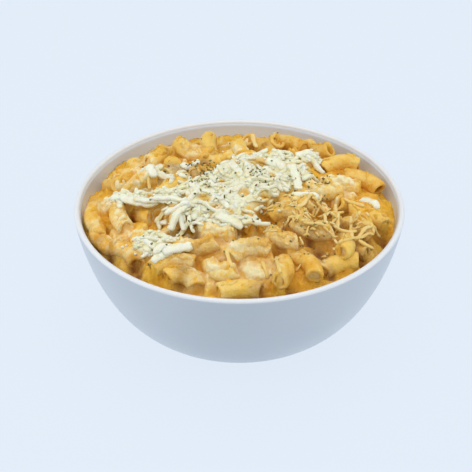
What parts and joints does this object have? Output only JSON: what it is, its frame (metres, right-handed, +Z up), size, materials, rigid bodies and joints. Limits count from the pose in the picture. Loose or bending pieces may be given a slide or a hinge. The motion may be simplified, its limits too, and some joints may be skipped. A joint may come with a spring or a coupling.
{
  "type": "bowl of mac and cheese",
  "caption": "Deep round white bowl heaped with elbow macaroni in cheese sauce, under shredded white cheese and dried herb flakes.",
  "frame": {"origin": "centre of the underside of the bowl's foot ring, where the bowl stands", "axes": "+Z up, -Y towards the side of the bowl that faces the viewer, +X to the viewer's right"},
  "size_m": [0.1698, 0.1698, 0.085],
  "materials": {
    "glazed_stoneware": "gloss",
    "macaroni_in_sauce": "satin",
    "white_cheese": "satin"
  },
  "bodies": {
    "root": {"bowl": "glazed_stoneware", "macaroni": "macaroni_in_sauce", "cheese_pile": "white_cheese", "cheese_front_left": "white_cheese", "cheese_back_left": "white_cheese", "cheese_back_right": "white_cheese"}
  },
  "joints": []
}
